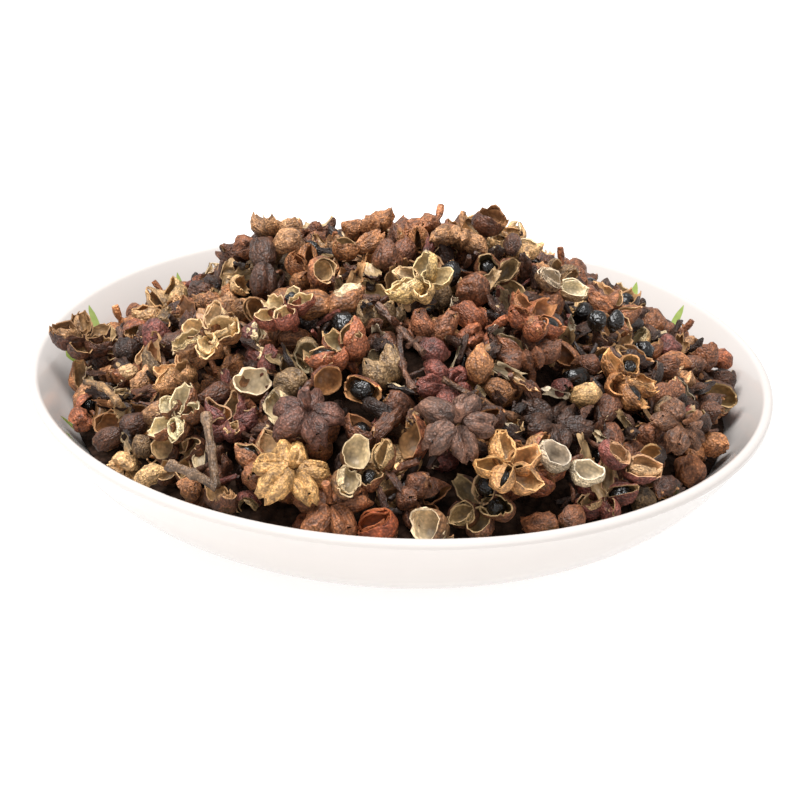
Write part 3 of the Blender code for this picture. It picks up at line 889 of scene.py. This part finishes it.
def add_copy(batch, shape, to_heap, tints, draw, amount=0.16 * MM):
    """Adds an uneven copy of a shape, with its fruit's tints and its own place in the grain.

    It swells and shrinks in slow waves by up to the amount, and its torn edge in short ones. Its
    skin is lighter where it swells and darker where it shrinks, which is painted light and shade,
    and lighter at its tip. Its lining is darker deep in the shell, which is painted shade.
    """
    matrix = np.array(to_heap)
    squash = draw.uniform(0.9, 1.08, size=3)
    swell = slow_waves(shape["points"], draw)
    length = np.maximum(np.linalg.norm(shape["points"], axis=1), 1 * MM)
    points = shape["points"] * squash * (1 + 2 * amount * swell / length)[:, None]
    points[shape["torn"], 2] += 0.22 * MM * torn_edge(shape["points"][shape["torn"]], draw)
    tip = np.clip(shape["points"][:, 0] / length, -1, 1)
    # Painted light and shade: lighter where the copy swells and darker where it shrinks. It is also lighter
    # towards its tip, and varies in tone at random.
    shade = 1 + 0.16 * swell + 0.22 * tip**3 + 0.14 * slow_waves(shape["points"], draw)
    corners = np.concatenate(shape["faces"])
    slots = np.repeat(shape["slots"], shape["corners"])
    up = np.clip(shape["points"][corners, 2] / (2.5 * MM), -1, 1)
    # Painted shade: the lining darkens deep in the shell, towards its bottom.
    corner_shade = shade[corners] * np.where(slots == LINING, 0.88 + 0.36 * up, 1)
    batch["points"].append(points @ matrix[:3, :3].T + matrix[:3, 3])
    batch["faces"] += [tuple(corner + batch["total"] for corner in face) for face in shape["faces"]]
    batch["slots"].append(shape["slots"])
    batch["tints"].append(tints[slots] * corner_shade[:, None])
    batch["grain"].append(shape["points"] + draw.uniform(-0.5, 0.5, size=3))
    batch["total"] += len(points)


def join_batch(name, batch):
    """One piece of all the copies, pressed flat where it would sink into the dish."""
    points = np.concatenate(batch["points"])
    points[:, 2] = np.maximum(points[:, 2], dish_floor(np.hypot(points[:, 0], points[:, 1])))
    mesh = bpy.data.meshes.new(name)
    mesh.from_pydata(points, [], batch["faces"])
    for material in MATERIALS:
        mesh.materials.append(material)
    mesh.polygons.foreach_set("material_index", np.concatenate(batch["slots"]).astype(np.int32))
    tint = mesh.attributes.new("tint", "FLOAT_COLOR", "CORNER")
    tint.data.foreach_set("color", np.concatenate(batch["tints"]).astype(np.float32).ravel())
    grain = mesh.attributes.new("grain", "FLOAT_VECTOR", "POINT")
    grain.data.foreach_set("vector", np.concatenate(batch["grain"]).astype(np.float32).ravel())
    mesh.shade_smooth()
    mesh.set_sharp_from_angle(angle=math.radians(60))
    piece = bpy.data.objects.new(name, mesh)
    bpy.context.scene.collection.objects.link(piece)
    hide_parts("evodia_heap")
    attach(piece, "root")


def fruit_matrix(fruit):
    """Where a settled fruit lies, how it is turned and its size."""
    axes = Matrix(fruit["axes"].tolist()).to_4x4() @ Matrix.Scale(fruit["size"], 4)
    return Matrix.Translation(fruit["place"]) @ axes


def of_kind(kind):
    """The settled fruits of one kind."""
    return [fruit for fruit in fruits if fruit["kind"] == kind]


def lobe_matrix(lobe, distance, raised, draw):
    """Where one of a fruit's five pods sits round its stalk, its beak raised by some degrees."""
    turn = math.tau * lobe / LOBES + math.radians(draw.uniform(-8, 8))
    lift = math.radians(raised + draw.uniform(-10, 14))
    return (
        Matrix.Rotation(turn, 4, "Z")
        @ Matrix.Translation((distance, 0, draw.uniform(-0.3, 0.5) * MM))
        @ Matrix.Rotation(-lift, 4, "Y")
        @ Matrix.Rotation(math.radians(draw.uniform(-16, 16)), 4, "X")
        @ Matrix.Scale(draw.uniform(0.86, 1.06), 4)
    )


def peel_tints(tints):
    """The tints of a loose inner shell, which is pale on both of its faces."""
    pale = tints.copy()
    pale[SKIN] = tints[LINING]
    return pale


def spread_at_random(shape, share, most, draw):
    """A copy of a pod with each half spread to about this share, by most at the most more or less."""
    return spread_valves(shape, share + draw.uniform(-most, most), share + draw.uniform(-most, most))


SLIT_BELOW = 0.4  # a pod that has opened less than this shows only a slit
CUP_SHARE = 0.45  # of the pods that gape, these are round like cups
DEEP_SHARE = 0.7
SEEDED_SHARE = 0.14
PEELING_SHARE = 0.4  # of the pods without a seed, these have a loose inner shell


def add_open_pod(batch, to_heap, openness, tints, draw):
    """An open pod, from a slit (0) to a wide mouth (1), some with an inner shell or a seed."""
    tints = tints * draw.uniform(0.85, 1.18) * draw.uniform(0.97, 1.03, size=4)
    if openness < SLIT_BELOW:
        shape = spread_at_random(slit_pod, 1.02 - openness * 0.45, 0.04, draw)
    elif draw.uniform() < CUP_SHARE:
        shape = deep_cup if draw.uniform() < DEEP_SHARE else shallow_cup
        tipped = Matrix.Rotation(math.radians(draw.uniform(-5, 25)), 4, "Y")
        to_heap = to_heap @ tipped @ Matrix.Scale(0.88, 4)
    else:
        shape = spread_at_random(wide_pod, 1.1 - openness * 0.25, 0.1, draw)
    add_copy(batch, shape, to_heap, tints, draw)
    if draw.uniform() < SEEDED_SHARE:
        nest = Matrix.Translation((0.2 * MM, 0, 0.2 * MM)) @ Matrix.Scale(draw.uniform(0.85, 1), 4)
        add_copy(batch, seed, to_heap @ nest, tints, draw, 0.1 * MM)
    elif draw.uniform() < PEELING_SHARE:
        shift = Matrix.Translation((0.2 * MM, draw.uniform(-0.4, 0.4) * MM, 0.6 * MM))
        peel = spread_valves(wide_pod, draw.uniform(0.8, 1.1), draw.uniform(0.8, 1.1))
        add_copy(batch, peel, to_heap @ shift @ Matrix.Scale(0.86, 4), peel_tints(tints), draw)


def add_short_stalk(batch, to_heap, depth, tints, draw):
    """The short stalk that a fruit broke off with, upright under the middle of its pods."""
    under = Matrix.Translation((0, 0, -depth)) @ Matrix.Rotation(math.pi / 2, 4, "Y")
    add_copy(batch, short_stalk, to_heap @ under, tints, draw, 0.08 * MM)


# Each kind draws from its own seed, so that a change to one leaves the others as they are.
draw = np.random.default_rng(101)
stars = new_batch()
for fruit in of_kind("star"):
    tints = fruit_tints(draw, fruit["look"])
    ripeness = fruit["look"][2] if fruit["look"] else draw.uniform()
    tilt = Matrix.Rotation(math.radians(draw.uniform(-20, 20)), 4, "X")
    to_heap = fruit_matrix(fruit) @ tilt @ Matrix.Scale(0.94, 4)
    raised = 8 if fruit["look"] else draw.uniform(8, 34)
    for lobe in range(LOBES):
        openness = min(max(ripeness + draw.uniform(-0.3, 0.3), 0), 1)
        add_open_pod(stars, to_heap @ lobe_matrix(lobe, 3.4 * MM, raised, draw), openness, tints, draw)
    add_short_stalk(stars, to_heap, 3.4 * MM, tints, draw)
join_batch("open_capsules", stars)

# ------------------------------------------------------------------ closed capsules
# Unripe fruits stay shut: five plump, furrowed pods drawn tightly round the stalk, many
# lying upside down with the stalk or its scar in the middle.

UPSIDE_DOWN_SHARE = 0.6
FURROWED_SHARE = 0.7  # the other pods have begun to split


def on_seam(place):
    """Whether a point lies on the seam that runs round a pod from end to end."""
    return abs(place.y) < 0.1 * MM


furrowed = closed_pod(rings=10)
pull(furrowed, lambda place: on_seam(place) and place.z > 1.6 * MM, (0, 0, -1.2 * MM), 1.2 * MM)
pull(furrowed, lambda place: on_seam(place) and place.z < -1.6 * MM, (0, 0, 1.1 * MM), 1.2 * MM)
pull(furrowed, lambda place: on_seam(place) and place.x > 2.9 * MM, (-1.5 * MM, 0, -0.4 * MM), 1.3 * MM)
furrowed_pod = shape_of(furrowed)

draw = np.random.default_rng(102)
clusters = new_batch()
for fruit in of_kind("cluster"):
    tints = fruit_tints(draw, fruit["look"])
    to_heap = fruit_matrix(fruit)
    if fruit["look"] or draw.uniform() < UPSIDE_DOWN_SHARE:
        to_heap = to_heap @ Matrix.Rotation(math.pi, 4, "X")
    for lobe in range(LOBES):
        place = to_heap @ lobe_matrix(lobe, 3.5 * MM, 12, draw) @ Matrix.Scale(0.86, 4)
        pod = furrowed_pod if draw.uniform() < FURROWED_SHARE else slit_pod
        add_copy(clusters, pod, place, tints, draw, 0.2 * MM)
    add_short_stalk(clusters, to_heap, 3.6 * MM, tints * 1.3, draw)
join_batch("closed_capsules", clusters)

# ------------------------------------------------------------------ broken capsules
# Capsules that broke up when they were dried and raked over: two pods still joined at their
# base, some shut and furrowed, others open like those of a whole capsule.

draw = np.random.default_rng(103)
pairs = new_batch()
for fruit in of_kind("pair"):
    tints = fruit_tints(draw, fruit["look"])
    for turn in (0, math.pi):
        spread = Matrix.Rotation(turn, 4, "Z") @ Matrix.Translation((2.8 * MM, 0, 0))
        lift = Matrix.Rotation(math.radians(-draw.uniform(5, 35)), 4, "Y") @ Matrix.Scale(0.88, 4)
        place = fruit_matrix(fruit) @ spread @ lift
        openness = fruit["look"][2] if fruit["look"] else draw.uniform(-0.4, 1)
        if openness < 0:
            add_copy(pairs, furrowed_pod, place, tints, draw, 0.2 * MM)
        else:
            add_open_pod(pairs, place, openness, tints, draw)
join_batch("broken_capsules", pairs)

# ------------------------------------------------------------------ empty husks
# Single pods that came off their capsule and have dropped their seed: stiff open shells with
# a pale rim, like tiny cups. In some the papery lining has come loose as an inner shell.

draw = np.random.default_rng(104)
cups = new_batch()
for fruit in of_kind("cup"):
    tints = fruit_tints(draw, fruit["look"])
    kind = draw.choice(("shallow", "deep", "pod"), p=(0.35, 0.25, 0.4))
    openness = fruit["look"][2] if fruit["look"] else draw.uniform(0.3, 1)
    if openness < 0.5 or kind == "pod" and not fruit["look"]:
        add_open_pod(cups, fruit_matrix(fruit), openness, tints, draw)
        continue
    shape = shallow_cup if kind == "shallow" else deep_cup
    add_copy(cups, shape, fruit_matrix(fruit), tints, draw, 0.2 * MM)
    if draw.uniform() < 0.35:
        peel = Matrix.Rotation(math.radians(draw.uniform(10, 30)), 4, "X") @ Matrix.Scale(0.86, 4)
        add_copy(cups, shallow_cup, fruit_matrix(fruit) @ peel, peel_tints(tints), draw, 0.12 * MM)
join_batch("empty_husks", cups)

# ------------------------------------------------------------------ dried berries
# Single pods that came off before they were ripe and dried hard: round like peppercorns,
# furrowed like beans, or split along their top.

BERRY_RADIUS = 3.15 * MM
berry = oval_ball(BERRY_RADIUS, (1, 0.94, 0.92), 4, SKIN)
draw = np.random.default_rng(105)
berries = new_batch()
for fruit in of_kind("berry"):
    tints = fruit_tints(draw, fruit["look"])
    form = draw.choice(("ball", "bean", "split"), p=(0.3, 0.35, 0.35))
    if form == "ball":
        add_copy(berries, berry, fruit_matrix(fruit), tints, draw, 0.16 * MM)
    elif form == "bean":
        add_copy(berries, furrowed_pod, fruit_matrix(fruit) @ Matrix.Scale(0.9, 4), tints, draw, 0.24 * MM)
    else:
        add_open_pod(berries, fruit_matrix(fruit) @ Matrix.Scale(0.92, 4), draw.uniform(0, 0.9), tints, draw)
join_batch("dried_berries", berries)

# ------------------------------------------------------------------ black seeds
# Seeds shaken out of their pods, each a hard oval ball with a glossy black coat. In most of
# the places where one settles lies a small split pod instead, some with the seed inside.

LOOSE_SHARE = 0.28
draw = np.random.default_rng(106)
seeds = new_batch()
for fruit in of_kind("seed"):
    tints = fruit_tints(draw, fruit["look"])
    if fruit["look"] or draw.uniform() < LOOSE_SHARE:
        add_copy(seeds, seed, fruit_matrix(fruit), tints, draw, 0.12 * MM)
    else:
        add_open_pod(seeds, fruit_matrix(fruit) @ Matrix.Scale(0.74, 4), draw.uniform(0, 0.8), tints, draw)
join_batch("black_seeds", seeds)

# ------------------------------------------------------------------ dried stalks
# Flower stalks and twigs picked with the fruit, dried thin and woody, with swollen joints. A
# forked twig and a straight stick lie on the heap at the front.

STALK_SKINS = {"#7d5b43": 3, "#946f4e": 2, "#5d4133": 3, "#6c5042": 2}
LONG_STALK = 15 * MM
long_stalk = stalk(LONG_STALK, 0.72 * MM, 1.2 * MM, 10, 1.45)
draw = np.random.default_rng(107)
stalks = new_batch()
for fruit in of_kind("stalk"):
    tints = fruit_tints(draw, skins=STALK_SKINS)
    add_copy(stalks, long_stalk, fruit_matrix(fruit), tints, draw, 0.12 * MM)


def between(start, end, shape_length):
    """Turns and stretches a stalk of this length along X, so that it runs from start to end."""
    along = Vector(end) - Vector(start)
    direction = along.to_track_quat("X", "Z").to_matrix().to_4x4()
    stretch = Matrix.Diagonal((along.length / shape_length, 1, 1, 1))
    return Matrix.Translation((Vector(start) + Vector(end)) / 2) @ direction @ stretch


TWIG_LENGTH = 13 * MM
twig = stalk(TWIG_LENGTH, 0.95 * MM, 0.5 * MM, 10, 1.25, sides=9)
fork = Vector((-31, -62, 0)) * MM
fork.z = float(mound_height(fork.x, fork.y)) + 1.5 * MM
for arm in (Vector((-3, 11, 9)) * MM, Vector((-8.6, 2, 3)) * MM):
    tints = fruit_tints(draw, skins={"#7d6550": 1})
    add_copy(stalks, twig, between(fork, fork + arm, TWIG_LENGTH), tints, draw, 0.08 * MM)
stick = [Vector((-61, -20, 0)) * MM, Vector((-52, -34, 0)) * MM]
for end in stick:
    end.z = float(mound_height(end.x, end.y)) + 2.5 * MM
tints = fruit_tints(draw, skins={"#9c7c58": 1})
add_copy(stalks, long_stalk, between(*stick, LONG_STALK), tints, draw, 0.08 * MM)
join_batch("dried_stalks", stalks)

# ------------------------------------------------------------------ scraps of husk
# What breaks off in picking and drying and sifts into the gaps: curled flakes of dark husk,
# and short bits of thin stalk.

SCRAP_SKINS = {"#2c1d16": 3, "#3c271c": 4, "#4f3325": 4, "#633f2c": 3, "#8c5c3e": 1, "#6f3f37": 1}
SCRAP_REACH = 64 * MM  # past this the heap is too thin to hold them
thin_stalk = stalk(5 * MM, 0.36 * MM, 0.4 * MM, 4, 1.4, sides=6)
draw = np.random.default_rng(108)
scraps = new_batch()
for fruit in of_kind("scrap"):
    if math.hypot(*fruit["place"][:2]) > SCRAP_REACH:
        continue
    tints = fruit_tints(draw, skins=SCRAP_SKINS)
    flake = spread_valves(wide_pod, draw.uniform(0.4, 0.9), draw.uniform(0.3, 0.8))
    crushed = Matrix.Diagonal((draw.uniform(0.6, 0.9), draw.uniform(0.4, 0.6), draw.uniform(0.35, 0.5), 1))
    add_copy(scraps, flake, fruit_matrix(fruit) @ crushed, tints, draw, 0.5 * MM)
for fruit in of_kind("chip"):
    if math.hypot(*fruit["place"][:2]) > SCRAP_REACH:
        continue
    tints = fruit_tints(draw, skins=SCRAP_SKINS)
    place = fruit_matrix(fruit) @ Matrix.Scale(draw.uniform(0.7, 1.4), 4)
    add_copy(scraps, thin_stalk, place, tints, draw, 0.1 * MM)
join_batch("scraps_of_husk", scraps)
